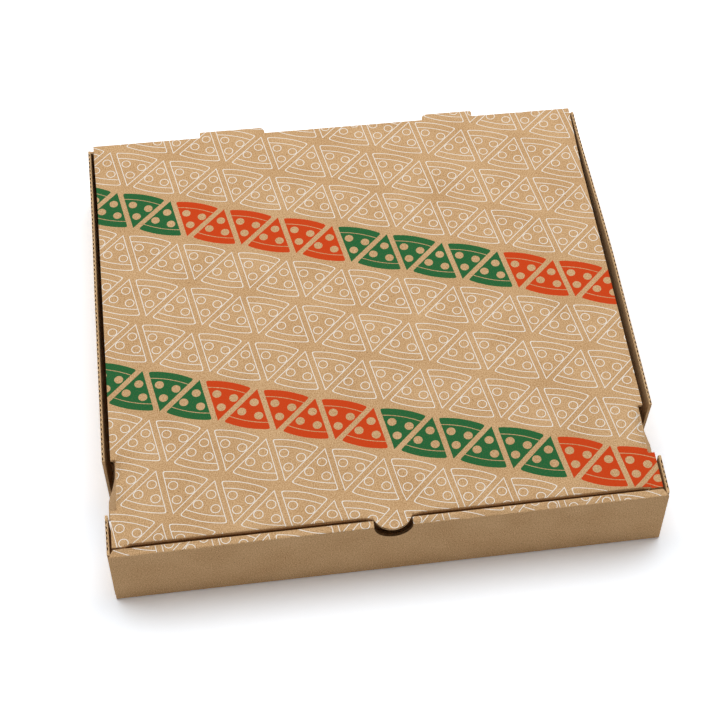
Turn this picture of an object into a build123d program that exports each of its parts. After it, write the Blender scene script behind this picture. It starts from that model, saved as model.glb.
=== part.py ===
# Closed pizza box, folded from one sheet of corrugated kraft board. Millimetres.
# X runs across the box, Y from front to back and Z up, from the middle of the underside.

import os
from math import cos, radians, sin, sqrt, tan

from build123d import *

# The board and its folds
board = 1.5  # thickness of the corrugated sheet
fold_outside = 0.9  # rounding on the outside of a fold
fold_inside = 0.2  # rounding in the crook of a fold
slip = 0.2  # gap between layers that lie against each other
kerf = 0.15  # width of a cut through the board

# The box as a whole
depth = 289.6  # front face to back face
height = 44.6  # underside to the top of the closed lid
wall_span = 301.2  # over the outer faces of the side walls
front_set_in = 0.6  # each end of the front wall, in from the face of the side wall
back_set_in = 2.9  # each end of the back wall, in from the face of the side wall

# Front wall, rolled over to a double wall
mitre_angle = 30.0  # degrees that each end of the land runs in towards the back
thumb_room = 0.45  # between the thumb tab and the thumb notch
tongue_width = 40.0  # each of the two tongues that lock the inner front panel in the bottom
tongue_spacing = 150.0  # between the middles of the tongues

# Side walls and their corner flaps
post_length = 26.4  # front face to the rear edge of the front post
post_rounding = 1.0  # top rear corner of the post
opening_length = 33.6  # opening between the post and the rest of the wall
opening_sill = 6.0  # height left standing under the opening
opening_rounding = 2.0  # lower corners of the opening
front_flap_length = 60.0  # corner flaps held between the two layers of the front wall
rear_flap_length = 58.0  # corner flaps that lie against the back wall
rear_flap_drop = 3.0  # how far the rear corner flaps stay below the top
wall_end_relief = 2.2  # how far the top of a side wall stops short of its rear fold
flap_corner = 5.0  # cut corners at the free end of a corner flap

# Lid
lid_side_gap = 1.5  # between each side wall and the lid
lid_rear_trim = 0.6  # how much more the lid stays clear behind its notches
lid_gap = 0.8  # between the front wall and the lid's front fold
lid_fold_outside = 1.2  # rounding on the lid's front fold
hinge_gap = 0.2  # between the back wall and the lid along their fold
thumb_tab_radius = 11.0  # half-round tab in the lid's plane, over the thumb notch
thumb_tab_reach = 7.3  # how far the thumb tab stands out of the front fold

# Front flap of the lid, tucked down behind the front wall
tuck_set_in = 6.6  # each end of the flap, in from the lid's edge
tuck_floor_gap = 9.1  # between the flap's free edge and the bottom
tuck_swing_gap = 0.4  # kept clear of the front wall while the lid swings up
tuck_corner = 10.0  # cut corners at the ends of the flap

# Side lock tabs of the lid, in notches beside the openings of the side walls
notch_depth = 3.3
notch_front_offset = 1.9  # the notch's front end behind the post
notch_rear_offset = 0.2  # the notch's rear end behind the opening
side_tab_front_gap = 0.6  # between the notch's front end and the tab's fold
side_tab_rear_gap = 0.6  # and at the notch's rear end
side_tab_reach = 13.6  # from its fold to its free edge
side_tab_angle = 68.0  # degrees down from the lid
side_tab_front_taper = 1.0  # how much shorter the free edge is than the fold, at the front
side_tab_rear_taper = 2.0  # and at the back

# Tabs that stand out behind the back fold, where the sheet is cut and not creased
back_tab_reach = 4.1  # beyond the back face
left_tab_place = -62.4  # middle of the left tab
left_tab_length = 39.9
right_tab_place = 71.4  # middle of the right tab
right_tab_length = 31.2
back_tab_inner_rounding = 3.2
back_tab_outer_rounding = 1.2
back_tab_room = 0.5  # clear of the tab at each end of its hole
back_tab_clearance = 0.3  # clear of the tab at the bottom of its hole

# Places that follow from the sizes, from front to back
front_face = -depth / 2
corner_flap_front = front_face + board + slip
wall_front = corner_flap_front + board
inner_panel = wall_front + slip
front_wall_rear = inner_panel + board
lid_front = front_wall_rear + lid_gap
post_rear = front_face + post_length
notch_front = post_rear + notch_front_offset
notch_rear = post_rear + opening_length + notch_rear_offset
side_tab_front = notch_front + side_tab_front_gap
side_tab_rear = notch_rear - side_tab_rear_gap
back_face = depth / 2
corner_flap_rear = back_face - board - slip
wall_rear = corner_flap_rear - board
hinge_y = back_face - board / 2
back_tab_edge = back_face + back_tab_reach

# From the middle outwards
half_span = wall_span / 2
half_front = half_span - front_set_in
half_back = half_span - back_set_in
half_land = half_front - (front_wall_rear - front_face) * tan(radians(mitre_angle))
half_lid = half_span - board - lid_side_gap
half_tuck = half_lid - tuck_set_in
half_lid_rear = half_lid - lid_rear_trim
side_fold = half_lid - notch_depth

# From the underside up
flap_low = board + slip
lid_underside = height - board
front_flap_top = lid_underside - slip
rear_flap_top = height - rear_flap_drop
back_wall_top = lid_underside - hinge_gap
hinge_z = height - board / 2
tuck_low = board + tuck_floor_gap

# The front flap leans in by as much as its free edge swings forward when the lid opens
tuck_run = (height - tuck_low) ** 2 / (2 * (hinge_y - lid_front)) + tuck_swing_gap

# The thumb notch lets the thumb tab through at the back of the front wall
tab_middle = thumb_tab_radius - thumb_tab_reach  # behind the lid's front fold
thumb_notch_radius = sqrt(thumb_tab_radius**2 - (tab_middle + lid_gap) ** 2) + thumb_room

near = 0.01  # how close an edge lies to where it is looked for
beyond = 10.0  # how far a cut runs past the board


def round_corner(section, across, up, radius):
    # Rounds the corner of a section that lies nearest to a point of its plane
    fillet(section.vertices().sort_by_distance((across, up, 0))[0], radius)


# Tray: bottom, walls and corner flaps
with BuildPart() as tray:
    # Front wall: up from the bottom, back over the land and down again inside
    with BuildSketch(Plane.YZ) as front:
        with BuildLine():
            Polyline(
                (wall_front, 0),
                (front_face, 0),
                (front_face, height),
                (front_wall_rear, height),
                (front_wall_rear, flap_low),
                (inner_panel, flap_low),
                (inner_panel, lid_underside),
                (front_face + board, lid_underside),
                (front_face + board, board),
                (wall_front, board),
                close=True,
            )
        make_face()
        round_corner(front, front_face, 0, fold_outside)
        round_corner(front, front_face, height, fold_outside)
        round_corner(front, front_wall_rear, height, fold_outside)
        round_corner(front, front_face + board, board, fold_inside)
        round_corner(front, front_face + board, lid_underside, fold_inside)
        round_corner(front, inner_panel, lid_underside, fold_inside)
    extrude(amount=half_front, both=True)

    # Mitred ends of the land, and the inner panel cut to the same width
    for side in (-1, 1):
        with BuildSketch(Plane.XY.offset(lid_underside - fold_inside)):
            with BuildLine():
                Polyline(
                    (side * half_front, front_face),
                    (side * half_land, front_wall_rear),
                    (side * half_front, front_wall_rear),
                    close=True,
                )
            make_face()
        extrude(amount=board + fold_inside, mode=Mode.SUBTRACT)
        with BuildSketch(Plane.XY.offset(flap_low)):
            with Locations((side * half_land, inner_panel)):
                Rectangle(
                    half_front - half_land,
                    board,
                    align=(Align.MIN if side > 0 else Align.MAX, Align.MIN),
                )
        extrude(amount=lid_underside - flap_low, mode=Mode.SUBTRACT)

    # Bottom and side walls
    with BuildSketch(Plane.XZ.offset(-wall_rear)) as walls:
        with BuildLine():
            Polyline(
                (-half_span, height),
                (-half_span, 0),
                (half_span, 0),
                (half_span, height),
                (half_span - board, height),
                (half_span - board, board),
                (-half_span + board, board),
                (-half_span + board, height),
                close=True,
            )
        make_face()
        for side in (-1, 1):
            round_corner(walls, side * half_span, 0, fold_outside)
            round_corner(walls, side * (half_span - board), board, fold_inside)
    extrude(amount=wall_rear - wall_front)

    # Back wall
    with BuildSketch(Plane.YZ) as back:
        with BuildLine():
            Polyline(
                (wall_rear, 0),
                (back_face, 0),
                (back_face, back_wall_top),
                (back_face - board, back_wall_top),
                (back_face - board, board),
                (wall_rear, board),
                close=True,
            )
        make_face()
        round_corner(back, back_face, 0, fold_outside)
        round_corner(back, back_face - board, board, fold_inside)
    extrude(amount=half_back, both=True)

    # Corner flaps, each folded inwards from an end of a side wall
    for side in (-1, 1):
        for outer, inner, length, top in (
            (corner_flap_front, wall_front, front_flap_length, front_flap_top),
            (corner_flap_rear, wall_rear, rear_flap_length, rear_flap_top),
        ):
            leg = inner + (inner - outer)
            with BuildSketch(Plane.XY.offset(flap_low)) as flap:
                with BuildLine():
                    Polyline(
                        (side * half_span, leg),
                        (side * half_span, outer),
                        (side * (half_span - length), outer),
                        (side * (half_span - length), inner),
                        (side * (half_span - board), inner),
                        (side * (half_span - board), leg),
                        close=True,
                    )
                make_face()
                round_corner(flap, side * half_span, outer, fold_outside)
                round_corner(flap, side * (half_span - board), inner, fold_inside)
            extrude(amount=top - flap_low)
            end = side * (half_span - length)
            free_end = (
                tray.edges()
                .filter_by(Axis.Y)
                .filter_by_position(Axis.X, end - near, end + near)
                .filter_by_position(Axis.Y, min(outer, inner), max(outer, inner))
            )
            chamfer(free_end, flap_corner)

    # The front fold of each side wall runs up to the top beside the land
    for side in (-1, 1):
        with BuildSketch(Plane.XY.offset(front_flap_top)) as wall_fold:
            with Locations((side * (half_span - board), corner_flap_front)):
                Rectangle(
                    board,
                    board,
                    align=(Align.MIN if side > 0 else Align.MAX, Align.MIN),
                )
            round_corner(wall_fold, side * half_span, corner_flap_front, fold_outside)
        extrude(amount=height - front_flap_top)

    # The top of each side wall stops before the rear fold
    with BuildSketch(Plane.YZ):
        with Locations((corner_flap_rear - wall_end_relief, rear_flap_top)):
            Rectangle(wall_end_relief + slip, rear_flap_drop, align=(Align.MIN, Align.MIN))
    extrude(amount=half_span, both=True, mode=Mode.SUBTRACT)

    # Openings of the side walls
    with BuildSketch(Plane.YZ) as opening:
        with Locations((post_rear, opening_sill)):
            Rectangle(opening_length, height, align=(Align.MIN, Align.MIN))
        round_corner(opening, post_rear, opening_sill, opening_rounding)
        round_corner(opening, post_rear + opening_length, opening_sill, opening_rounding)
    extrude(amount=half_span + beyond, both=True, mode=Mode.SUBTRACT)
    post_corners = (
        tray.edges()
        .filter_by(Axis.X)
        .filter_by_position(Axis.Y, post_rear - near, post_rear + near)
        .filter_by_position(Axis.Z, height - near, height + near)
    )
    fillet(post_corners, post_rounding)

    # Thumb notch through both layers of the front wall
    with BuildSketch(Plane.XZ.offset(-lid_front)):
        with Locations((0, height)):
            Circle(thumb_notch_radius)
    extrude(amount=lid_front - front_face + beyond, mode=Mode.SUBTRACT)

    # Tongues of the inner front panel, standing in slots of the bottom
    with BuildSketch():
        with Locations((0, inner_panel + board / 2)):
            with GridLocations(tongue_spacing, 0, 2, 1):
                Rectangle(tongue_width + 2 * slip, board + 2 * slip)
    extrude(amount=board, mode=Mode.SUBTRACT)
    with BuildSketch():
        with Locations((0, inner_panel + board / 2)):
            with GridLocations(tongue_spacing, 0, 2, 1):
                Rectangle(tongue_width, board)
    extrude(amount=flap_low)

    # Holes that the lid's back tabs are cut from
    hole_low = hinge_z - board - back_tab_reach - back_tab_clearance
    with BuildSketch(Plane.XZ.offset(-back_tab_edge)):
        for middle, length in (
            (left_tab_place, left_tab_length),
            (right_tab_place, right_tab_length),
        ):
            with Locations((middle, hole_low)):
                Rectangle(
                    length + 2 * back_tab_room,
                    height - hole_low,
                    align=(Align.CENTER, Align.MIN),
                )
    extrude(amount=back_tab_edge - corner_flap_rear, mode=Mode.SUBTRACT)

tray.part.label = "tray"


# Lid: top panel, front tuck flap, thumb tab, side lock tabs and back tabs
with BuildPart() as lid:
    # Top panel, with its notches and with room for the folds
    with BuildSketch(Plane.XY.offset(lid_underside)):
        with Locations((0, lid_front)):
            Rectangle(2 * half_lid, hinge_y - lid_front, align=(Align.CENTER, Align.MIN))
            Rectangle(
                2 * (half_tuck + kerf),
                board,
                align=(Align.CENTER, Align.MIN),
                mode=Mode.SUBTRACT,
            )
        for start, end, cut in (
            (notch_front, notch_rear, notch_depth),
            (side_tab_front, side_tab_rear, notch_depth + 2 * board),
            (notch_rear, hinge_y, lid_rear_trim),
        ):
            with Locations((-half_lid, start), (half_lid, start)):
                Rectangle(
                    2 * cut,
                    end - start,
                    align=(Align.CENTER, Align.MIN),
                    mode=Mode.SUBTRACT,
                )
    extrude(amount=board)

    # Round rear end of the panel, about the fold
    with BuildSketch(Plane.YZ):
        with Locations((hinge_y, hinge_z)):
            Circle(board / 2)
    extrude(amount=half_lid_rear, both=True)

    # Front tuck flap with its fold
    crook_run = tuck_run * board / (height - tuck_low)
    with BuildSketch(Plane.YZ) as tuck:
        with BuildLine():
            Polyline(
                (lid_front + board, height),
                (lid_front, height),
                (lid_front + tuck_run, tuck_low),
                (lid_front + tuck_run + board, tuck_low),
                (lid_front + crook_run + board, lid_underside),
                (lid_front + board, lid_underside),
                close=True,
            )
        make_face()
        round_corner(tuck, lid_front, height, lid_fold_outside)
    extrude(amount=half_tuck, both=True)
    chamfer(lid.edges().filter_by(Axis.Y).group_by(Axis.Z)[0], tuck_corner)

    # Thumb tab, cut out of the tuck flap and left in the lid's plane
    with BuildSketch(Plane.XZ.offset(-lid_front - tuck_run - board)):
        with Locations((0, height + tab_middle)):
            Circle(thumb_tab_radius + kerf)
    extrude(amount=tuck_run + board + beyond, mode=Mode.SUBTRACT)
    with BuildSketch(Plane.XY.offset(lid_underside)):
        with Locations((0, lid_front + tab_middle)):
            Circle(thumb_tab_radius)
    extrude(amount=board)

    # Side lock tabs, folded down towards the openings of the side walls
    out = cos(radians(side_tab_angle))
    down = sin(radians(side_tab_angle))
    free_edge = side_fold + side_tab_reach * out
    free_edge_z = height - side_tab_reach * down
    fold_root = side_fold - 2 * board
    crook = side_fold - board * (1 - out) / down
    for side in (-1, 1):
        with BuildSketch(Plane.XZ.offset(-side_tab_rear)) as tab:
            with BuildLine():
                Polyline(
                    (side * fold_root, height),
                    (side * side_fold, height),
                    (side * free_edge, free_edge_z),
                    (side * (free_edge - board * down), free_edge_z - board * out),
                    (side * crook, lid_underside),
                    (side * fold_root, lid_underside),
                    close=True,
                )
            make_face()
            round_corner(tab, side * side_fold, height, fold_outside)
        extrude(amount=side_tab_rear - side_tab_front)

    # Tapered ends of the side lock tabs
    tab_low = free_edge_z - board * out
    with BuildSketch(Plane.YZ):
        for end, taper in (
            (side_tab_front, side_tab_front_taper),
            (side_tab_rear, -side_tab_rear_taper),
        ):
            with BuildLine():
                Polyline(
                    (end, lid_underside),
                    (end, tab_low),
                    (end + taper, tab_low),
                    close=True,
                )
            make_face()
    extrude(amount=half_lid + beyond, both=True, mode=Mode.SUBTRACT)

    # Back tabs
    for middle, length, side in (
        (left_tab_place, left_tab_length, -1),
        (right_tab_place, right_tab_length, 1),
    ):
        with BuildSketch(Plane.XY.offset(lid_underside)) as back_tab:
            with Locations((middle, hinge_y - board)):
                Rectangle(
                    length,
                    back_tab_edge - hinge_y + board,
                    align=(Align.CENTER, Align.MIN),
                )
            for end, rounding in (
                (middle - side * length / 2, back_tab_inner_rounding),
                (middle + side * length / 2, back_tab_outer_rounding),
            ):
                round_corner(back_tab, end, back_tab_edge, rounding)
        extrude(amount=board)

lid.part.label = "lid"


os.makedirs("parts", exist_ok=True)
export_step(tray.part, "parts/tray.step")
export_step(lid.part, "parts/lid.step")
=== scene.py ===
import math

import bpy
from mathutils import Matrix, Vector, noise


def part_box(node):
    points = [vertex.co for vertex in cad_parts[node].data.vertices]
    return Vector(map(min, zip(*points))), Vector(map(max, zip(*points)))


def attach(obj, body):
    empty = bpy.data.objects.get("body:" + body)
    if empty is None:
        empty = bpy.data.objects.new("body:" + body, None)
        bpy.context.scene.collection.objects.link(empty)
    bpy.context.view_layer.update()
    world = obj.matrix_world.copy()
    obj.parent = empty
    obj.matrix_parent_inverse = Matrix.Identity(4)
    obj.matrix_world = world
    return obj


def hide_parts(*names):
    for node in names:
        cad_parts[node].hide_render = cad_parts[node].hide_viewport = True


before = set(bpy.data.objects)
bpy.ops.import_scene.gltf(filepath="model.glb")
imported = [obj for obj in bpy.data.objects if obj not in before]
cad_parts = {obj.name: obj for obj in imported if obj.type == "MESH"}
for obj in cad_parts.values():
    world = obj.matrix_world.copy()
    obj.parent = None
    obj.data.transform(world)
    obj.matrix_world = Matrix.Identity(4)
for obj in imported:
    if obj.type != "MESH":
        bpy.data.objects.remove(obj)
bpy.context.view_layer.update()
mm = 0.001
trayLow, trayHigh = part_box("tray")
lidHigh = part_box("lid")[1]
print("frame loaded")

# the corrugated sheet that both pieces are folded from
sheet = {
    "board": 1.5 * mm,
    "flutePitch": 3.2 * mm,  # E flute
    "liner": 0.26 * mm,  # flat paper on each face
    "medium": 0.24 * mm,  # wavy paper between the faces
    "crush": 0.22,  # height left of the flutes next to the inner face
    "channelDepth": 4.5 * mm,  # how far in from a cut edge the flutes are open
    "lead": 0.6 * mm,  # how far a cutter stands out of the edge
    "channelShare": 0.84,  # length of a hollow beside the medium, in pitches
    "weld": 0.001 * mm,  # corners closer than this are one
    "flatAngle": 0.2,  # degrees: triangles that turn less than this are one face
    "smoothAngle": 25.0,  # degrees: edges that turn less than this are shaded smooth
    "underSkin": 0.02 * mm,  # depth at which a look through the board starts
    "fold": 1.7,  # in boards: a face with more than this behind it is a cut edge
    "sameWay": 0.7,  # cosine: less than about 45 degrees apart
    "upward": 0.9,  # cosine: a face that looks up
    "printedFrom": 43.5 * mm,  # height above which the outer liner is printed
    "skew": (2.0 * mm, -0.7 * mm),  # how far the right corners lie back, at the front and at the rear
    "thumbShift": 1.0 * mm,  # how far the thumb tab and its notch stand right of the middle
}


def hexColour(code):
    # sRGB hex to the linear values that sockets take
    channels = [int(code[i : i + 2], 16) / 255 for i in (1, 3, 5)]
    return (*[c / 12.92 if c <= 0.04045 else ((c + 0.055) / 1.055) ** 2.4 for c in channels], 1)


def addNode(tree, kind, links=None, **settings):
    node = tree.nodes.new(kind)
    for name, value in settings.items():
        setattr(node, name, value)
    for place, value in (links or {}).items():
        if isinstance(value, bpy.types.NodeSocket):
            tree.links.new(value, node.inputs[place])
        else:
            node.inputs[place].default_value = value
    return node


def newMaterial(name):
    material = bpy.data.materials.new(name)
    material.use_nodes = True
    material.node_tree.nodes.clear()
    return material, material.node_tree


def kraftPaper(tree, look):
    # tones, fibres and specks of unbleached paper, laid out on the flat sheet, u along the flutes
    flat = addNode(tree, "ShaderNodeUVMap", uv_map="sheet").outputs["UV"]
    cloud = addNode(
        tree, "ShaderNodeTexNoise", {"Vector": flat, "Scale": 1 / look["cloud"], "Detail": 3.0}
    ).outputs["Fac"]
    along = addNode(
        tree,
        "ShaderNodeMapping",
        {"Vector": flat, "Scale": (1 / look["fibreWidth"], 1 / look["fibreLength"], 1)},
    ).outputs["Vector"]
    fibre = addNode(
        tree, "ShaderNodeTexNoise", {"Vector": along, "Scale": 1.0, "Detail": 2.0}
    ).outputs["Fac"]
    grain = addNode(
        tree, "ShaderNodeTexNoise", {"Vector": flat, "Scale": 1 / look["grain"], "Detail": 2.0}
    ).outputs["Fac"]
    middle = 0.5 - (look["cloudShare"] + look["fibreShare"] + look["grainShare"]) / 2
    paper = addNode(
        tree, "ShaderNodeMath", {0: cloud, 1: look["cloudShare"], 2: middle}, operation="MULTIPLY_ADD"
    ).outputs[0]
    paper = addNode(
        tree, "ShaderNodeMath", {0: fibre, 1: look["fibreShare"], 2: paper}, operation="MULTIPLY_ADD"
    ).outputs[0]
    paper = addNode(
        tree, "ShaderNodeMath", {0: grain, 1: look["grainShare"], 2: paper}, operation="MULTIPLY_ADD"
    ).outputs[0]
    tones = addNode(tree, "ShaderNodeValToRGB", {"Fac": paper})
    for stop, tone in enumerate(("dark", "light")):
        tones.color_ramp.elements[stop].color = hexColour(look[tone])
        tones.color_ramp.elements[stop].position = look["toneRange"][stop]
    speckCells = addNode(
        tree, "ShaderNodeTexVoronoi", {"Vector": flat, "Scale": 1 / look["speckSpacing"]}
    )
    near = addNode(
        tree,
        "ShaderNodeMath",
        {0: speckCells.outputs["Distance"], 1: look["speck"] / look["speckSpacing"]},
        operation="LESS_THAN",
    ).outputs[0]
    chance = addNode(tree, "ShaderNodeSeparateColor", {"Color": speckCells.outputs["Color"]}).outputs["Red"]
    chosen = addNode(
        tree, "ShaderNodeMath", {0: chance, 1: look["speckFree"]}, operation="GREATER_THAN"
    ).outputs[0]
    speck = addNode(tree, "ShaderNodeMath", {0: near, 1: chosen}, operation="MULTIPLY").outputs[0]
    speck = addNode(
        tree, "ShaderNodeMath", {0: speck, 1: look["speckStrength"]}, operation="MULTIPLY"
    ).outputs[0]
    colour = addNode(
        tree,
        "ShaderNodeMix",
        {"Factor": speck, 6: tones.outputs["Color"], 7: hexColour(look["speckColour"])},
        data_type="RGBA",
    ).outputs[2]
    across = addNode(tree, "ShaderNodeSeparateXYZ", {0: flat}).outputs["Y"]
    turns = addNode(
        tree, "ShaderNodeMath", {0: across, 1: 2 * math.pi / sheet["flutePitch"]}, operation="MULTIPLY"
    ).outputs[0]
    washboard = addNode(tree, "ShaderNodeMath", {0: turns}, operation="SINE").outputs[0]
    relief = addNode(
        tree, "ShaderNodeMath", {0: washboard, 1: look["washboard"], 2: fibre}, operation="MULTIPLY_ADD"
    ).outputs[0]
    return {"flat": flat, "colour": colour, "relief": relief, "grain": grain}


def paperSurface(tree, look, colour, relief):
    bump = addNode(
        tree,
        "ShaderNodeBump",
        {"Height": relief, "Strength": look["bump"], "Distance": look["reliefHeight"]},
    ).outputs["Normal"]
    surface = addNode(
        tree,
        "ShaderNodeBsdfPrincipled",
        {"Base Color": colour, "Roughness": look["roughness"], "IOR": look["ior"], "Normal": bump},
    )
    surface.inputs["Specular IOR Level"].default_value = look["gloss"]
    addNode(tree, "ShaderNodeOutputMaterial", {"Surface": surface.outputs["BSDF"]})


# unbleached kraft liner, calendered: warm brown and matt, a little cloudy, with fine fibres, grain
# and a few dark specks, and the flutes showing through faintly as a washboard
kraftLook = {
    "dark": "#AC7F4E",
    "light": "#EAC597",
    "toneRange": (0.28, 0.72),  # noise levels of the dark and the light tone
    "cloud": 24 * mm,
    "cloudShare": 0.2,
    "fibreWidth": 0.5 * mm,  # real fibres are 0.03 mm wide, drawn coarser so that they show
    "fibreLength": 1.8 * mm,
    "fibreShare": 0.32,
    "grain": 0.62 * mm,  # drawn coarser than the paper's own, so that it shows
    "grainShare": 0.9,
    "speck": 0.34 * mm,
    "speckSpacing": 4.6 * mm,
    "speckFree": 0.6,  # share of the places that have no speck
    "speckStrength": 0.55,
    "speckColour": "#6F4F31",
    "washboard": 0.3,
    "bump": 0.3,
    "reliefHeight": 0.05 * mm,
    "roughness": 0.85,
    "ior": 1.5,
    "gloss": 0.15,
}
# die cut edge of the board: the same fibres cut short, paler and rougher, with no washboard
cutLook = {
    **kraftLook,
    "dark": "#B48A5A",
    "light": "#F0CDA0",
    "fibreWidth": 0.3 * mm,
    "fibreLength": 1.2 * mm,
    "washboard": 0.0,
    "bump": 0.6,
    "roughness": 0.92,
}
# recycled fluting paper: darker and duller, in the shade of the open flutes; round the thumb hole it also
# covers the whole cut edge as painted shade
flutingAndShadeLook = {**cutLook, "dark": "#5C432B", "light": "#826443"}

# flexographic print on the outer liner: thin flat ink, a little ragged and as matt as the paper,
# in rows of slices of which two are solid
printLook = {
    "turn": -18.0,  # degrees, the rows fall to the right
    "rowPitch": 31 * mm,
    "slicePitch": 33 * mm,  # one slice up and one down
    "gap": 3.0 * mm,  # unprinted between slices
    "line": 0.44 * mm,
    "crust": 4.6 * mm,
    "bulge": 2.6 * mm,  # how far the crust's ends lie behind its middle
    "softCorner": 2.4 * mm,
    "topping": 2.5 * mm,
    "toppings": ((-5.0, 11.5), (4.8, 10.6), (0.3, 18.8)),  # mm sideways and over the crust
    "solidRows": (1, -3),
    "slicesPerColour": 3,
    "rowShift": 0.37,  # in slices, from one row to the next
    "rag": 0.25 * mm,  # how far the ink's edge strays
    "ragSpacing": 0.9 * mm,
    "thin": 0.88,  # share of the paper that the ink hides where it is thinnest
    "thinGrain": (0.3, 0.5),  # levels of the grain at which the ink is thinnest and full
    "white": "#F8F1E6",
    "green": "#1F6637",
    "red": "#D2420F",
}


def linerMaterial(name, look):
    material, tree = newMaterial(name)
    paper = kraftPaper(tree, look)
    paperSurface(tree, look, paper["colour"], paper["relief"])
    return material


def printedMaterial(name, look, ink):
    material, tree = newMaterial(name)
    paper = kraftPaper(tree, look)
    pitch = ink["rowPitch"]
    halfSlice = ink["slicePitch"] / 2
    stroke = ink["line"] / 2

    # place on the artwork, in slices along a row and in rows
    wander = addNode(
        tree, "ShaderNodeTexNoise", {"Vector": paper["flat"], "Scale": 1 / ink["ragSpacing"]}
    ).outputs["Color"]
    wander = addNode(
        tree,
        "ShaderNodeVectorMath",
        {0: wander, 1: (ink["rag"],) * 3, 2: paper["flat"]},
        operation="MULTIPLY_ADD",
    ).outputs[0]
    cells = addNode(
        tree,
        "ShaderNodeMapping",
        {
            "Vector": wander,
            "Rotation": (0, 0, math.radians(ink["turn"])),
            "Scale": (ink["slicePitch"], pitch, 1),
        },
        vector_type="TEXTURE",
    ).outputs["Vector"]
    place = addNode(tree, "ShaderNodeSeparateXYZ", {0: cells})
    known = {"u": place.outputs["X"], "v": place.outputs["Y"]}

    steps = [
        ("row", "FLOOR", "v"),
        ("up", "FRACT", "v"),
        ("along", "MULTIPLY_ADD", "row", ink["rowShift"], "u"),
        # slices stand point up and point down by turns, parted by a zigzag
        ("zigzag", "PINGPONG", "along", 0.5),
        ("under", "MULTIPLY_ADD", "zigzag", 2.0, 0.0),
        ("under", "SUBTRACT", "under", "up"),
        ("side", "SIGN", "under"),
        ("slant", "MULTIPLY", "under", pitch * halfSlice / math.hypot(pitch, halfSlice)),
        ("slant", "ABSOLUTE", "slant"),
        ("slant", "SUBTRACT", "slant", ink["gap"] / 2),
        # place in the slice: height over its crust and sideways from its middle
        ("height", "SUBTRACT", "up", 0.5),
        ("height", "MULTIPLY_ADD", "height", "side", 0.5),
        ("height", "MULTIPLY", "height", pitch),
        ("turned", "MULTIPLY_ADD", "side", -0.25, "along"),
        ("turned", "ADD", "turned", 0.25),
        ("piece", "FLOOR", "turned"),
        ("sideways", "FRACT", "turned"),
        ("sideways", "SUBTRACT", "sideways", 0.5),
        ("sideways", "MULTIPLY", "sideways", ink["slicePitch"]),
        ("bow", "DIVIDE", "sideways", halfSlice),
        ("bow", "MULTIPLY", "bow", "bow"),
        ("fromCrust", "MULTIPLY_ADD", "bow", -ink["bulge"], "height"),
        ("fromCrust", "SUBTRACT", "fromCrust", ink["gap"] / 2),
        ("within", "SMOOTH_MIN", "slant", "fromCrust", ink["softCorner"]),
        ("mirrored", "MULTIPLY", "sideways", "side"),
        ("nearest", "ADD", 1.0, 0.0),
    ]
    for x, y in ink["toppings"]:
        steps += [
            ("offX", "SUBTRACT", "mirrored", x * mm),
            ("offY", "SUBTRACT", "height", y * mm),
            ("offX", "MULTIPLY", "offX", "offX"),
            ("offY", "MULTIPLY", "offY", "offY"),
            ("reach", "ADD", "offX", "offY"),
            ("reach", "SQRT", "reach"),
            ("nearest", "MINIMUM", "nearest", "reach"),
        ]
    steps += [
        # outline, crust line and rings; the solid slices leave crust line and toppings bare
        ("inside", "GREATER_THAN", "within", 0.0),
        ("edge", "COMPARE", "within", stroke, stroke),
        ("crust", "COMPARE", "fromCrust", ink["crust"], stroke),
        ("ring", "COMPARE", "nearest", ink["topping"], stroke),
        ("disc", "LESS_THAN", "nearest", ink["topping"]),
        ("lines", "MAXIMUM", "crust", "ring"),
        ("lines", "MULTIPLY", "lines", "inside"),
        ("lines", "MAXIMUM", "lines", "edge"),
        ("bare", "MAXIMUM", "crust", "disc"),
        ("solid", "SUBTRACT", "inside", "bare"),
        ("solid", "GREATER_THAN", "solid", 0.5),
        # the solid rows take the two colours by turns
        ("first", "COMPARE", "row", float(ink["solidRows"][0]), 0.5),
        ("second", "COMPARE", "row", float(ink["solidRows"][1]), 0.5),
        ("solidRow", "MAXIMUM", "first", "second"),
        ("group", "DIVIDE", "piece", float(ink["slicesPerColour"])),
        ("group", "FLOOR", "group"),
        ("group", "FLOORED_MODULO", "group", 2.0),
    ]
    for made, operation, *terms in steps:
        links = {i: known[t] if isinstance(t, str) else t for i, t in enumerate(terms)}
        known[made] = addNode(tree, "ShaderNodeMath", links, operation=operation).outputs[0]

    colours = addNode(
        tree,
        "ShaderNodeMix",
        {"Factor": known["group"], 6: hexColour(ink["green"]), 7: hexColour(ink["red"])},
        data_type="RGBA",
    ).outputs[2]
    colours = addNode(
        tree,
        "ShaderNodeMix",
        {"Factor": known["solidRow"], 6: hexColour(ink["white"]), 7: colours},
        data_type="RGBA",
    ).outputs[2]
    covered = addNode(
        tree, "ShaderNodeMix", {"Factor": known["solidRow"], 2: known["lines"], 3: known["solid"]}
    ).outputs[0]
    low, high = ink["thinGrain"]
    hiding = addNode(
        tree, "ShaderNodeMapRange", {"Value": paper["grain"], 1: low, 2: high, 3: ink["thin"], 4: 1.0}
    ).outputs[0]
    covered = addNode(tree, "ShaderNodeMath", {0: covered, 1: hiding}, operation="MULTIPLY").outputs[0]
    colour = addNode(
        tree,
        "ShaderNodeMix",
        {"Factor": covered, 6: paper["colour"], 7: colours},
        data_type="RGBA",
    ).outputs[2]
    paperSurface(tree, look, colour, paper["relief"])
    return material


def selectOnly(*objects):
    if bpy.context.object and bpy.context.object.mode == "EDIT":
        bpy.ops.object.mode_set(mode="OBJECT")
    bpy.ops.object.select_all(action="DESELECT")
    for thing in objects:
        thing.select_set(True)
    bpy.context.view_layer.objects.active = objects[0]


def applyModifiers(piece):
    selectOnly(piece)
    for modifier in list(piece.modifiers):
        bpy.ops.object.modifier_apply(modifier=modifier.name)


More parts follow.
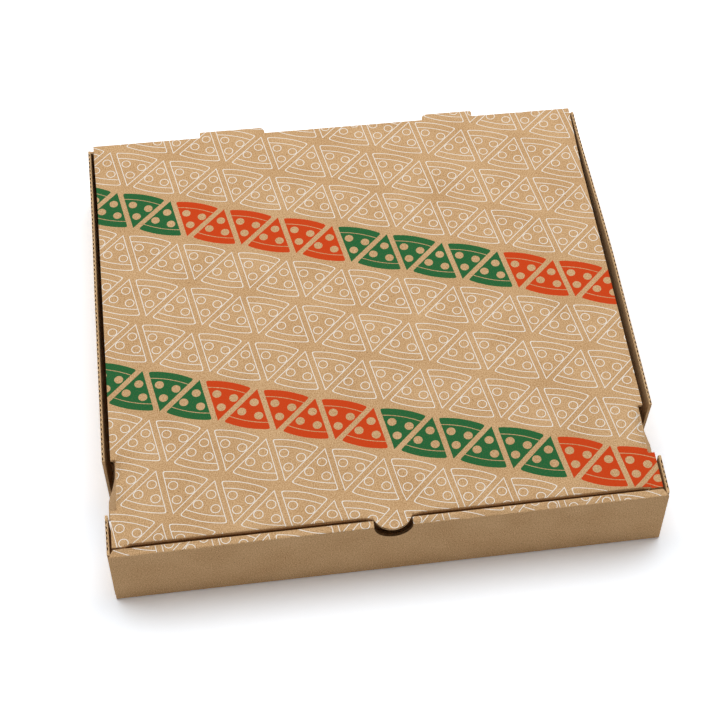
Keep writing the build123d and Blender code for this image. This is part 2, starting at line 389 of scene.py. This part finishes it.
def modelChannel():
    # hollows on both sides of one wave of the medium: X along the edge, Y across the board, Z out of it
    pitch = sheet["flutePitch"]
    face = sheet["board"] / 2 - sheet["liner"]
    swing = face - sheet["medium"] / 2
    bpy.ops.object.select_all(action="DESELECT")
    bpy.ops.mesh.primitive_grid_add(x_subdivisions=4, y_subdivisions=1, size=1)
    channel = bpy.context.object
    for point in channel.data.vertices:
        along = point.co.x * sheet["channelShare"] * pitch
        wave = sheet["medium"] / 2 - swing * math.cos(2 * math.pi * along / pitch)
        point.co = (along + pitch / 4, face if point.co.y > 0 else wave, sheet["lead"])
    bpy.ops.object.mode_set(mode="EDIT")
    bpy.ops.mesh.select_all(action="SELECT")
    drop = (0, 0, -sheet["lead"] - sheet["channelDepth"])
    bpy.ops.mesh.extrude_region_move(TRANSFORM_OT_translate={"value": drop})
    bpy.ops.mesh.select_all(action="SELECT")
    bpy.ops.mesh.duplicate()
    bpy.ops.transform.resize(value=(-1, -1, 1), center_override=(pitch / 4, 0, 0))
    bpy.ops.transform.translate(value=(pitch / 2, 0, 0))
    bpy.ops.transform.resize(value=(1, sheet["crush"], 1), center_override=(0, -face, 0))
    bpy.ops.mesh.select_all(action="SELECT")
    bpy.ops.mesh.normals_make_consistent(inside=False)
    bpy.ops.object.mode_set(mode="OBJECT")
    return channel


def fluteCutter(channel, edges, material):
    # one comb of hollows for each cut edge: its ends, the way in, the way across the board and the depth
    combs = []
    for start, end, inward, across, depth in edges:
        start, end, inward, across = [Vector(v) for v in (start, end, inward, across)]
        run = end - start
        count = max(1, int(run.length / sheet["flutePitch"]))
        comb = bpy.data.objects.new("comb", channel.data.copy())
        bpy.context.collection.objects.link(comb)
        repeat = comb.modifiers.new("flutes", "ARRAY")
        repeat.count = count
        repeat.use_relative_offset = False
        repeat.use_constant_offset = True
        repeat.constant_offset_displace = (sheet["flutePitch"], 0, 0)
        applyModifiers(comb)
        along = run.normalized()
        first = start + along * (run.length - count * sheet["flutePitch"]) / 2
        longer = depth / sheet["channelDepth"]
        place = Matrix((along, across, -inward * longer)).transposed().to_4x4()
        place.translation = first
        comb.data.transform(place)
        combs.append(comb)
    selectOnly(*combs)
    bpy.ops.object.join()
    cutter = bpy.context.object
    bpy.ops.object.mode_set(mode="EDIT")
    bpy.ops.mesh.select_all(action="SELECT")
    bpy.ops.mesh.normals_make_consistent(inside=False)
    bpy.ops.object.mode_set(mode="OBJECT")
    cutter.data.materials.append(material)
    return cutter


def cutFlutes(piece, channel, edges, material):
    cutter = fluteCutter(channel, edges, material)
    cut = piece.modifiers.new("flutes", "BOOLEAN")
    cut.operation = "DIFFERENCE"
    cut.solver = "EXACT"
    cut.material_mode = "TRANSFER"
    cut.object = cutter
    applyModifiers(piece)
    bpy.data.objects.remove(cutter)


def copyNode(node, name):
    # loose CAD triangles become one closed sheet
    piece = bpy.data.objects.new(name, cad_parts[node].data.copy())
    bpy.context.collection.objects.link(piece)
    piece.data.materials.clear()
    selectOnly(piece)
    bpy.ops.object.mode_set(mode="EDIT")
    bpy.ops.mesh.select_all(action="SELECT")
    bpy.ops.mesh.remove_doubles(threshold=sheet["weld"])
    bpy.ops.mesh.dissolve_limited(angle_limit=math.radians(sheet["flatAngle"]))
    bpy.ops.object.mode_set(mode="OBJECT")
    return piece


def crossCuts(piece, axis, places):
    # lines across the flat panels, so that they can bend
    selectOnly(piece)
    bpy.ops.object.mode_set(mode="EDIT")
    normal = Vector((axis == "x", axis == "y", axis == "z"))
    for place in places:
        bpy.ops.mesh.select_all(action="SELECT")
        bpy.ops.mesh.bisect(plane_co=normal * place, plane_no=normal)
    bpy.ops.object.mode_set(mode="OBJECT")


def layOutFlat(piece, further=0):
    # place of each face on the sheet, u along its flutes
    flat = piece.data.uv_layers.new(name="sheet")
    mesh = piece.data
    for face in mesh.polygons:
        n = face.normal
        for corner in face.loop_indices:
            p = mesh.vertices[mesh.loops[corner].vertex_index].co
            if abs(n.z) > sheet["sameWay"]:
                flat.data[corner].uv = (p.x, p.y + further)
            elif abs(n.x) > sheet["sameWay"]:
                flat.data[corner].uv = (p.z, p.y)
            else:
                flat.data[corner].uv = (p.x, p.z)


linerSlot, printedSlot, cutSlot, flutingAndShadeSlot = range(4)  # order of the papers on a piece


def sortFaces(piece, papers, isPrinted):
    # a face with much board behind it is a cut edge, any other is liner
    for paper in papers:
        piece.data.materials.append(paper)
    bpy.context.view_layer.update()
    mesh = piece.data
    mesh.calc_loop_triangles()
    widest = {}
    for triangle in mesh.loop_triangles:
        if triangle.area > widest.get(triangle.polygon_index, (0, None))[0]:
            widest[triangle.polygon_index] = (triangle.area, triangle.center.copy())
    for face in mesh.polygons:
        if face.index not in widest:
            continue
        middle = widest[face.index][1]
        n = face.normal
        start = middle - n * sheet["underSkin"]
        hit, far, _, _ = piece.ray_cast(start, -n)
        if hit and (far - start).length > sheet["fold"] * sheet["board"]:
            face.material_index = cutSlot
        elif isPrinted(middle, n):
            face.material_index = printedSlot
    # a strip that runs on smoothly from liner belongs to a fold
    beside = {}
    for face in mesh.polygons:
        for key in face.edge_keys:
            beside.setdefault(key, []).append(face)
    liners = [face for face in mesh.polygons if face.material_index != cutSlot]
    while liners:
        face = liners.pop()
        for other in [f for key in face.edge_keys for f in beside[key]]:
            if other.material_index == cutSlot and face.normal.dot(other.normal) > sheet["sameWay"]:
                isInked = isPrinted(other.center, other.normal)
                other.material_index = printedSlot if isInked else linerSlot
                liners.append(other)


def flutedAndShadedEdge(piece, within):
    # round the thumb hole the whole cut edge takes the darker fluting paper: partly the medium that the cut
    # lays bare, partly painted shade for the dark notch
    for face in piece.data.polygons:
        if face.material_index == cutSlot and within(face.center):
            face.material_index = flutingAndShadeSlot


def isOutside(p, n):
    # upper faces of the lid and of the land in front of it
    return n.z > sheet["upward"] and p.z > sheet["printedFrom"]


def fade(value, low, high):
    # soft step from 0 at low to 1 at high
    t = min(1, max(0, (value - low) / (high - low)))
    return t * t * (3 - 2 * t)


def skewBox(piece, front, rear):
    # the front and the rear stand slightly out of square to the walls
    for point in piece.data.vertices:
        p = point.co
        ahead = (trayHigh.y - p.y) / (trayHigh.y - trayLow.y)
        p.y += (front * ahead + rear * (1 - ahead)) * p.x / trayHigh.x


def shiftThumb(piece, form, shift):
    # the thumb tab and its notch stand a little off the middle
    for point in piece.data.vertices:
        p = point.co
        if p.y < form["front"] + form["thumbReach"]:
            p.x += shift * (1 - fade(abs(p.x), form["thumbReach"], 3 * form["thumbReach"]))


kraft = linerMaterial("unbleached kraft liner, calendered", kraftLook)
printed = printedMaterial("unbleached kraft liner, flexo printed", kraftLook, printLook)
cutEdge = linerMaterial("corrugated board, die cut edge", cutLook)
# fluting paper for the open flutes, and painted shade on the cut edges round the thumb hole
fluting = linerMaterial("recycled fluting paper, corrugated", flutingAndShadeLook)
papers = (kraft, printed, cutEdge, fluting)
print("papers made")

board = sheet["board"]
half = board / 2
depth = sheet["channelDepth"]
trayForm = {
    "postRear": trayLow.y + 26.4 * mm,
    "openingRear": trayLow.y + 60.0 * mm,
    "sill": 6.0 * mm,
    "sillGap": 2.0 * mm,  # closed board at both ends of the sill
    "sillDepth": 3.5 * mm,  # how far down its flutes are open
    "postRounding": 1.0 * mm,
    "wallEnd": 140.9 * mm,
    "cornerFold": 3.4 * mm,
    "frontEnd": trayHigh.x - 0.6 * mm,  # half the width of the front wall
    "backEnd": trayHigh.x - 2.9 * mm,  # half the width of the back wall
    "landRear": trayLow.y + 4.9 * mm,  # rear of the narrow land on top of the front wall
    "landEnd": trayHigh.x - 0.1 * mm,
    "landInset": (0.4 * mm, 0.3 * mm),  # closed board at its front and rear
    "landDepth": 6.0 * mm,  # how far in its flutes are open
    "rearFlapTop": 41.6 * mm,
    "rearFlapMiddle": 142.35 * mm,
    "rearFlapEnd": trayHigh.x - 53.0 * mm,
    "innerLayer": trayLow.y + 3.3 * mm,  # front of the front wall's inner layer
    "notchReach": 13.0 * mm,
    "notchLow": 34.6 * mm,
    "notchHigh": 43.0 * mm,
    "backWallTop": 42.9 * mm,
    "printShift": 126 * mm,  # the land has line work only
    "wallDepth": 1.7 * mm,  # this close to the box's sides and over the foot, all is side wall
    "wallFoot": 1.6 * mm,
    "slack": 0.3 * mm,  # a corner this near to a cut belongs to it
    "wallStep": 16 * mm,  # between the lines across the side walls, so that they can bend
    "heightStep": 9 * mm,
    # how the card has moved since it was folded
    "rightLean": 2.4 * mm,  # outward at the top of the right wall
    "leftLean": 0.5 * mm,
    "postLean": 0.2 * mm,  # at the rear of the posts in front of the openings
    "fadeFrom": 15 * mm,  # along the walls, where the lean starts and ends to fade out
    "fadeTo": 138 * mm,
    "rearLean": (-0.6 * mm, 0.2 * mm),  # inward at the rear ends of the left and the right wall
    "rearRun": 70 * mm,
    "notchDrop": 2.6 * mm,  # how much lower the thumb notch is in the inner layer
    "landDip": 0.5 * mm,  # the land's front edge lies lower than its rear one
    "dipFrom": 40 * mm,  # height at which the front wall starts to sink
    "dipLine": 42 * mm,  # a line across it there, so that it can bend
    "ripple": 0.12 * mm,
    "rippleLength": 45 * mm,
    "rippleApart": 3,  # keeps the two walls' ripples from matching
}


def trayEdges(form):
    # cut edges that show their flutes
    edges = []
    top = trayHigh.z
    down = (0, 0, -1)
    for side in (-1, 1):
        wall = side * (trayHigh.x - half)
        out = (side, 0, 0)
        into = (-side, 0, 0)
        front = side * form["frontEnd"]
        back = side * form["backEnd"]
        land = side * form["landEnd"]
        frontY = trayLow.y + half
        backY = trayHigh.y - half
        flapY = form["rearFlapMiddle"]
        flapZ = form["rearFlapTop"]
        frontInset, rearInset = form["landInset"]
        edges += [
            ((wall, form["openingRear"], top), (wall, form["wallEnd"], top), down, out, depth),
            (
                (wall, trayLow.y + form["cornerFold"], top),
                (wall, form["postRear"] - form["postRounding"], top),
                down,
                out,
                depth,
            ),
            (
                (wall, form["postRear"] + form["sillGap"], form["sill"]),
                (wall, form["openingRear"] - form["sillGap"], form["sill"]),
                down,
                out,
                form["sillDepth"],
            ),
            (
                (side * form["rearFlapEnd"], flapY, flapZ),
                (wall - side * half, flapY, flapZ),
                down,
                (0, 1, 0),
                depth,
            ),
            ((front, frontY, board), (front, frontY, top - board), into, (0, -1, 0), depth),
            ((back, backY, board), (back, backY, form["backWallTop"]), into, (0, 1, 0), depth),
            (
                (land, trayLow.y + frontInset, top - half),
                (land, form["landRear"] - rearInset, top - half),
                into,
                (0, 0, 1),
                form["landDepth"],
            ),
        ]
    # both layers of the rolled front wall, right through its thumb notch
    for y in (trayLow.y + half, form["landRear"] - half):
        edges.append(
            (
                (form["notchReach"], y, form["notchLow"]),
                (form["notchReach"], y, form["notchHigh"]),
                (-1, 0, 0),
                (0, -1, 0),
                2 * form["notchReach"],
            )
        )
    return edges


def bendTray(piece, form):
    # the side walls lean and ripple, the notch is lower in the inner layer, the land dips
    for point in piece.data.vertices:
        p = point.co
        side = 1 if p.x > 0 else -1
        if abs(p.x) > trayHigh.x - form["wallDepth"] and p.z > form["wallFoot"]:
            lean = form["rightLean"] if side > 0 else form["leftLean"]
            lean *= 1 - fade(p.y, form["fadeFrom"], form["fadeTo"])
            if p.y < form["postRear"] + form["slack"]:
                lean = form["postLean"] * fade(p.y, trayLow.y, form["postRear"])
            elif p.y < form["openingRear"] - form["slack"]:
                lean *= fade(p.y, form["postRear"], form["openingRear"])
            wave = Vector((p.y / form["rippleLength"], side * form["rippleApart"], 0))
            ripple = noise.noise(wave) * form["ripple"]
            rearward = fade(p.y, form["wallEnd"] - form["rearRun"], form["wallEnd"])
            drawn = form["rearLean"][side > 0] * rearward
            lean += ripple * fade(p.y, form["openingRear"], 0) - drawn
            p.x += side * lean * p.z / trayHigh.z
        below = trayHigh.z - p.z
        reach = math.hypot(p.x, below)
        if form["innerLayer"] < p.y < form["landRear"] + half and reach < form["notchReach"]:
            longer = 1 + form["notchDrop"] * fade(below, board, 3 * board) / reach
            p.x *= longer
            p.z = trayHigh.z - below * longer
        if p.y < form["landRear"] and p.z > form["dipFrom"]:
            ahead = 1 - fade(p.y, trayLow.y, form["landRear"])
            p.z -= form["landDip"] * ahead * fade(p.z, form["dipFrom"], trayHigh.z)


lidForm = {
    "edge": trayHigh.x - 3.0 * mm,
    "rearEdge": trayHigh.x - 3.6 * mm,  # behind the notches
    "front": trayLow.y + 5.7 * mm,
    "rear": trayHigh.y - 1.5 * mm,
    "notchFront": trayLow.y + 28.3 * mm,
    "notchRear": trayLow.y + 60.2 * mm,
    "lockEdge": (148.70 * mm, 31.71 * mm),  # middle of a side tab's free edge, x and z
    "lockRun": (-114.6 * mm, -87.5 * mm),  # its front and rear end
    "lockLean": 68.0,  # degrees down from the lid
    "lockFold": (144.3 * mm, 43.85 * mm),  # x and z of its fold
    "thumbReach": 12 * mm,
    "thumbTip": trayLow.y - 1.4 * mm,
    "tuckEnd": 141 * mm,  # half the width of the tuck flap
    "tuckRun": (21 * mm, 42.5 * mm),  # heights between which its ends are cut
    "tuckLean": 2.44 / 34,  # back per height
    "backTabs": ((-82.35 * mm, -42.45 * mm), (55.8 * mm, 87.0 * mm)),  # their ends across the box
    "backTabRun": (0.2 * mm, 3.9 * mm),  # their cut sides, from the back wall
    # lines across the lid, so that it can bend, in mm
    "rollLines": (0.8, 1.8, 3.0, 4.4, 6.0),  # behind the front edge
    "crownStep": 25,
    "twistLines": (-112, -109, -106, -103, -97, -94, -91, -88),  # along the side tabs
    "foldLines": (1.9, 2.3, 2.8, 3.4),  # below the top, over the tuck flap
    "sideLines": (10.5, 12.3, 14.2, 16, 40, 65, 90, 115, 137, 139),  # from the middle
    # how the card has moved since it was folded
    "roll": 0.5 * mm,  # how far the front edge sinks towards its fold
    "rollDepth": 4 * mm,
    "rollEnd": 137 * mm,  # the roll fades out from here to the tuck flap's end
    "thumbFlat": (10.5 * mm, 16 * mm),  # and between these towards the thumb tab
    "pullLeft": 1.1 * mm,  # how far each end of the front fold is drawn back
    "pullRight": 0.8 * mm,
    "drift": 0.6 * mm,  # to the right, most of it just behind the notches
    "frontSpread": (0.2 * mm, 0.1 * mm),  # outward at the front corners, left and right
    "spread": (0.9 * mm, 1.0 * mm),  # outward at the rear corners, left and right
    "spreadRun": 45 * mm,
    "spreadFrom": 90 * mm,  # from the middle, where the spread starts
    "crown": 0.5 * mm,
    "crownRun": (90 * mm, 70 * mm, 60 * mm),  # from the sides, the front and the rear to full height
    "ripple": 0.15 * mm,
    "rippleLength": 70 * mm,
    "lockTwist": 20.0,  # degrees that a side tab is pressed further down at its rear end
    "twistRun": (-104 * mm, -87 * mm),
    "twistFrom": 4 * mm,  # from its fold to full twist
    "tuckBack": 3.0 * mm,  # how far the tuck flap lies behind the nose of its fold
    "tuckBackRun": (1.5 * mm, 3.4 * mm),  # below the top
    "tuckBand": 8 * mm,  # the flap lies this close behind the front edge
}


def lidEdges(form):
    # cut edges that show their flutes
    edges = []
    middle = lidHigh.z - half
    up = Vector((0, 0, 1))
    for side in (-1, 1):
        edge = side * form["edge"]
        rearEdge = side * form["rearEdge"]
        inward = Vector((-side, 0, 0))
        edges += [
            ((edge, form["front"], middle), (edge, form["notchFront"], middle), inward, up, depth),
            ((rearEdge, form["notchRear"], middle), (rearEdge, form["rear"], middle), inward, up, depth),
        ]
        lean = math.radians(form["lockLean"])
        x, z = form["lockEdge"]
        low, high = form["lockRun"]
        upward = Vector((-side * math.cos(lean), 0, math.sin(lean)))
        outward = Vector((side * math.sin(lean), 0, math.cos(lean)))
        edges.append(((side * x, low, z), (side * x, high, z), upward, outward, depth))
        tuck = [
            (side * form["tuckEnd"], form["front"] + form["tuckLean"] * (lidHigh.z - z) + half, z)
            for z in form["tuckRun"]
        ]
        along = (Vector(tuck[1]) - Vector(tuck[0])).normalized()
        edges.append((tuck[0], tuck[1], inward, along.cross(inward), depth))
    low, high = [trayHigh.y + y for y in form["backTabRun"]]
    for ends in form["backTabs"]:
        for x, inward in zip(ends, ((1, 0, 0), (-1, 0, 0))):
            edges.append(((x, low, middle), (x, high, middle), inward, up, depth))
    # the flutes run right through the thumb tab
    edges.append(
        (
            (form["thumbReach"], form["thumbTip"], middle),
            (form["thumbReach"], form["front"], middle),
            (-1, 0, 0),
            up,
            2 * form["thumbReach"],
        )
    )
    return edges


def bendLid(piece, form):
    # the side tabs twist, the front edge rolls down, the corners spread and the panel crowns
    for point in piece.data.vertices:
        p = point.co
        x, y = abs(p.x), p.y
        foldX, foldZ = form["lockFold"]
        out, fall = x - foldX, foldZ - p.z
        if form["notchFront"] < y < form["notchRear"] and out > 0 and fall > 0:
            turn = math.radians(form["lockTwist"]) * fade(y, *form["twistRun"])
            turn *= fade(math.hypot(out, fall), 0, form["twistFrom"])
            side = 1 if p.x > 0 else -1
            p.x = side * (foldX + out * math.cos(turn) - fall * math.sin(turn))
            p.z = foldZ - fall * math.cos(turn) - out * math.sin(turn)
        ear = 1 - fade(x, form["rollEnd"], form["tuckEnd"])
        thumb = fade(x, *form["thumbFlat"])
        near = min(1, max(0, 1 - (y - form["front"]) / form["rollDepth"]))
        below = lidHigh.z - p.z
        if below > board and y < form["front"] + form["tuckBand"] and x < form["tuckEnd"] + half:
            near = 1
            p.y += form["tuckBack"] * fade(below, *form["tuckBackRun"])
        p.z -= form["roll"] * near * near * ear * thumb
        leftward = fade(-p.x, -form["edge"], form["edge"])
        pull = form["pullRight"] + (form["pullLeft"] - form["pullRight"]) * leftward
        p.y += pull * near * ear * thumb
        rearward = fade(y, form["rear"] - form["spreadRun"], form["rear"])
        behind = fade(y, form["notchFront"], form["notchRear"])
        p.x += form["drift"] * behind * fade(form["rear"] - y, 0, form["rear"] - form["notchRear"])
        outward = rearward * form["spread"][p.x > 0] + (1 - behind) * form["frontSpread"][p.x > 0]
        outward *= fade(x, form["spreadFrom"], form["rearEdge"])
        p.x += outward if p.x > 0 else -outward
        if p.z > lidHigh.z - 3 * half and y > form["front"]:
            sideRun, frontRun, rearRun = form["crownRun"]
            across = fade(form["edge"] - x, 0, sideRun)
            along = fade(y - form["front"], 0, frontRun) * fade(form["rear"] - y, 0, rearRun)
            ripple = noise.noise(Vector((p.x, y, 0)) / form["rippleLength"]) * form["ripple"]
            p.z += (form["crown"] * across + ripple) * along


channel = modelChannel()
tray = copyNode("tray", "boxTray")
sortFaces(tray, papers, lambda p, n: isOutside(p, n) and p.y < trayForm["landRear"])
# the cut edges of the thumb notch take the dark fluting paper, in part as painted shade
flutedAndShadedEdge(tray, lambda p: abs(p.x) < trayForm["notchReach"] and p.y < trayForm["landRear"])
crossCuts(tray, "y", [trayForm["openingRear"] + i * trayForm["wallStep"] for i in range(1, 14)])
crossCuts(tray, "z", [i * trayForm["heightStep"] for i in range(1, 5)])
crossCuts(tray, "z", [trayForm["dipFrom"], trayForm["dipLine"]])
cutFlutes(tray, channel, trayEdges(trayForm), fluting)
layOutFlat(tray, trayForm["printShift"])
bendTray(tray, trayForm)
shiftThumb(tray, lidForm, sheet["thumbShift"])
skewBox(tray, *sheet["skew"])
print("tray", len(tray.data.polygons), "faces")

lid = copyNode("lid", "boxLid")
sortFaces(lid, papers, isOutside)
# the cut edges of the thumb tab take the dark fluting paper, in part as painted shade
flutedAndShadedEdge(lid, lambda p: p.y < lidForm["front"])
crossCuts(lid, "y", [lidForm["front"] + d * mm for d in lidForm["rollLines"]])
crossCuts(lid, "y", [i * lidForm["crownStep"] * mm for i in range(-5, 6)])
crossCuts(lid, "y", [y * mm for y in lidForm["twistLines"]])
crossCuts(lid, "z", [lidHigh.z - d * mm for d in lidForm["foldLines"]])
crossCuts(lid, "x", [side * d * mm for d in lidForm["sideLines"] for side in (-1, 1)])
cutFlutes(lid, channel, lidEdges(lidForm), fluting)
layOutFlat(lid)
bendLid(lid, lidForm)
shiftThumb(lid, lidForm, sheet["thumbShift"])
skewBox(lid, *sheet["skew"])
print("lid", len(lid.data.polygons), "faces")
bpy.data.objects.remove(channel)

for piece, node, slot in ((tray, "tray", "kraft_board"), (lid, "lid", "printed_kraft_board")):
    selectOnly(piece)
    bpy.ops.object.shade_smooth_by_angle(angle=math.radians(sheet["smoothAngle"]))
    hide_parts(node)
    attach(piece, node)

# white studio paper, matt: plain white but for one soft shadow, under light from above and behind
stageLook = {
    "floorSize": 1.5,
    "floorDrop": 0.1 * mm,  # under the box
    "fadeFrom": 0.45,  # from here outwards the floor blends into the white behind it
    "white": "#FFFFFF",  # what the box gets back from the floor and the sky
    "shown": (1.4, 1.46, 1.53, 1),  # linear: the lit floor burns out to white, the shadow stays cool
    "sky": 0.288,
    "key": 23.5,  # watts
    "keySize": (3.2, 1.24),
    "keyPlace": (0.05, 0.44, 1.45),
}


def buildStage(look):
    white = hexColour(look["white"])
    bpy.ops.object.select_all(action="DESELECT")
    bpy.ops.mesh.primitive_plane_add(size=look["floorSize"], location=(0, 0, -look["floorDrop"]))
    floor = bpy.context.object
    floor.name = "floor"
    material, tree = newMaterial("white studio paper, matt")
    seen = addNode(tree, "ShaderNodeLightPath").outputs["Is Camera Ray"]
    shade = addNode(
        tree, "ShaderNodeMix", {"Factor": seen, 6: white, 7: look["shown"]}, data_type="RGBA"
    ).outputs[2]
    paper = addNode(tree, "ShaderNodeBsdfDiffuse", {"Color": shade}).outputs[0]
    place = addNode(tree, "ShaderNodeTexCoord").outputs["Object"]
    away = addNode(tree, "ShaderNodeVectorMath", {0: place}, operation="LENGTH").outputs["Value"]
    far = addNode(
        tree,
        "ShaderNodeMapRange",
        {"Value": away, 1: look["fadeFrom"], 2: look["floorSize"] / 2},
        interpolation_type="SMOOTHSTEP",
    ).outputs[0]
    blended = addNode(tree, "ShaderNodeMath", {0: far, 1: seen}, operation="MULTIPLY").outputs[0]
    bright = addNode(tree, "ShaderNodeEmission", {"Color": white}).outputs[0]
    surface = addNode(tree, "ShaderNodeMixShader", {0: blended, 1: paper, 2: bright}).outputs[0]
    addNode(tree, "ShaderNodeOutputMaterial", {"Surface": surface})
    floor.data.materials.append(material)

    world = bpy.data.worlds.new("studio")
    world.use_nodes = True
    tree = world.node_tree
    tree.nodes.clear()
    seen = addNode(tree, "ShaderNodeLightPath").outputs["Is Camera Ray"]
    strength = addNode(tree, "ShaderNodeMapRange", {"Value": seen, 3: look["sky"], 4: 1.0}).outputs[0]
    sky = addNode(tree, "ShaderNodeBackground", {"Color": white, "Strength": strength}).outputs[0]
    addNode(tree, "ShaderNodeOutputWorld", {"Surface": sky})
    bpy.context.scene.world = world

    bpy.ops.object.light_add(type="AREA", location=look["keyPlace"])
    key = bpy.context.object
    key.data.energy = look["key"]
    key.data.shape = "ELLIPSE"
    key.data.size, key.data.size_y = look["keySize"]
    downward = Vector((look["keyPlace"][0], 0, 0)) - Vector(look["keyPlace"])
    key.rotation_euler = downward.to_track_quat("-Z", "Y").to_euler()


# looks down on the lid from the front, a little from the left
cameraLook = {
    "place": (-0.07894, -0.64913, 0.89353),
    "aim": (-0.00415, -0.03476, 0.0446),
    "roll": 0.26,  # degrees
    "lens": 93.26,  # mm, as is the sensor
    "sensor": 36,
}


def placeCamera(look):
    bpy.ops.object.camera_add(location=look["place"])
    camera = bpy.context.object
    ahead = Vector(look["aim"]) - Vector(look["place"])
    roll = Matrix.Rotation(math.radians(look["roll"]), 3, "Z")
    turn = ahead.to_track_quat("-Z", "Y").to_matrix() @ roll
    camera.rotation_euler = turn.to_euler()
    camera.data.lens = look["lens"]
    camera.data.sensor_width = look["sensor"]
    bpy.context.scene.camera = camera


buildStage(stageLook)
placeCamera(cameraLook)
bpy.context.scene.view_settings.view_transform = "Standard"
print("stage and camera set")
